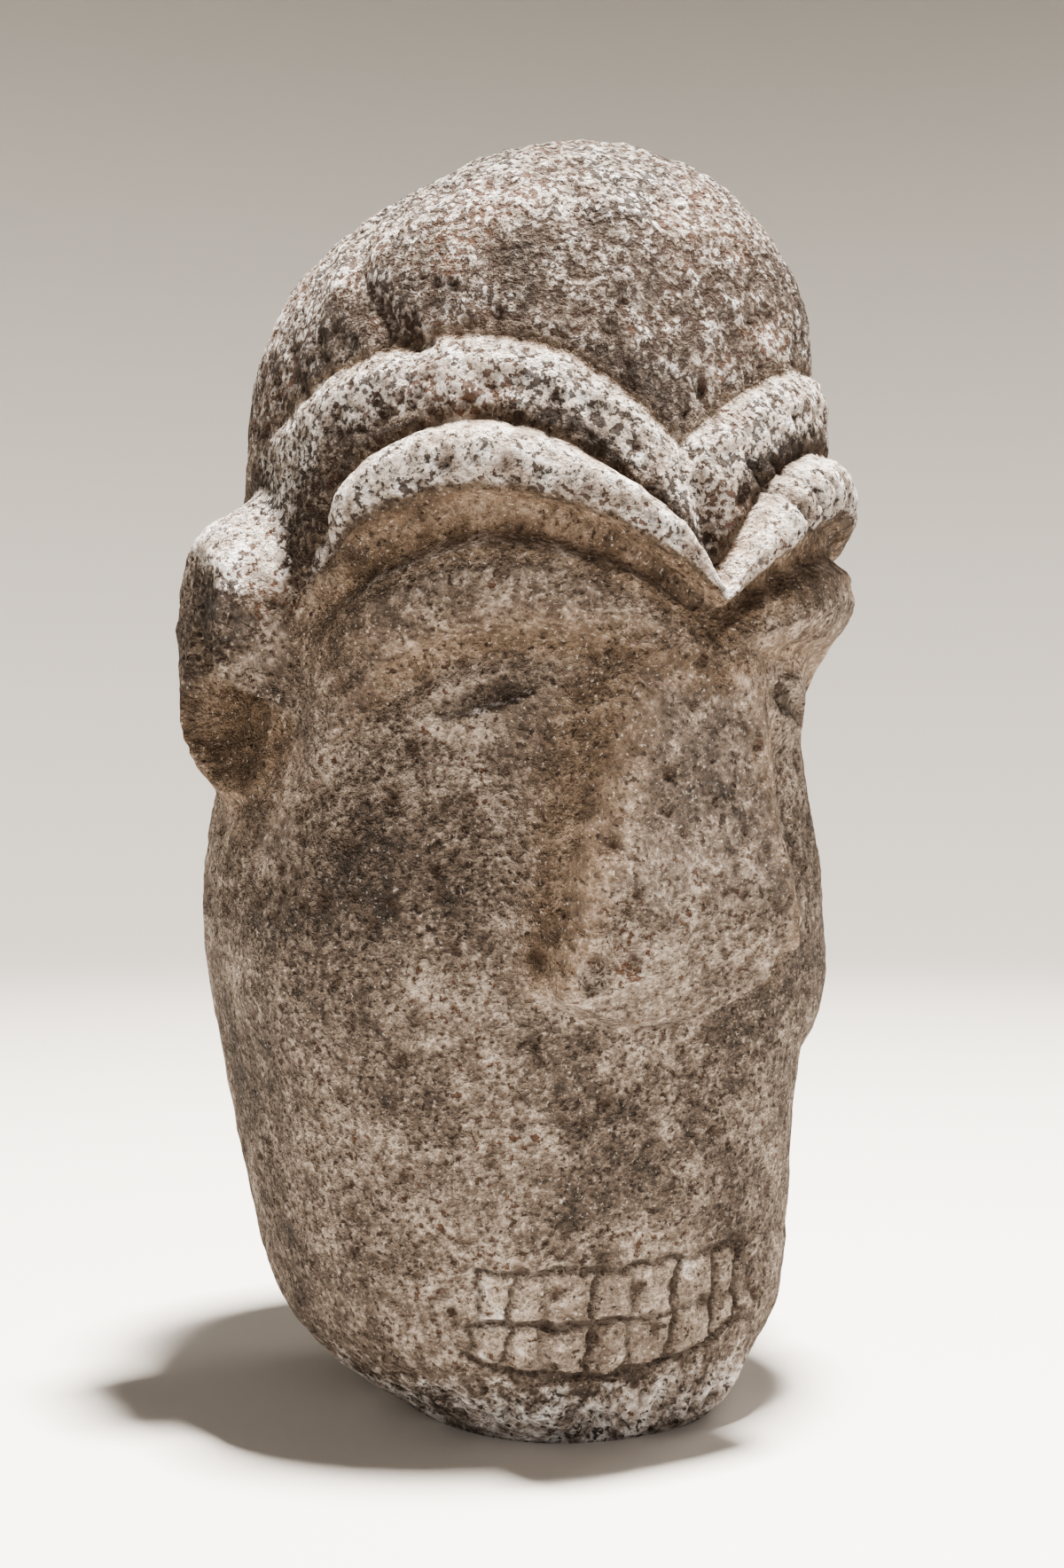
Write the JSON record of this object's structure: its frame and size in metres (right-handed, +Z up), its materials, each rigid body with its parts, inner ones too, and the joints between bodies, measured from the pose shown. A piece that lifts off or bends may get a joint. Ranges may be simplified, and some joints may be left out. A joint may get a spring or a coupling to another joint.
{
  "type": "carved stone head",
  "caption": "Upright carved stone head: boulder form with arched brow rolls, wedge nose, slit eyes, side ears and a grid of teeth, standing on its flat underside",
  "frame": {"origin": "on the flat underside, near the middle of its rim", "axes": "the face looks along -Y, +X is the right hand of someone facing it, +Z is up"},
  "size_m": [0.2442, 0.2498, 0.446],
  "materials": {
    "stone": "pitted, pecked stone, bleached on top, brown in the hollows"
  },
  "bodies": {
    "root": {"stone_head": "stone"}
  },
  "joints": []
}
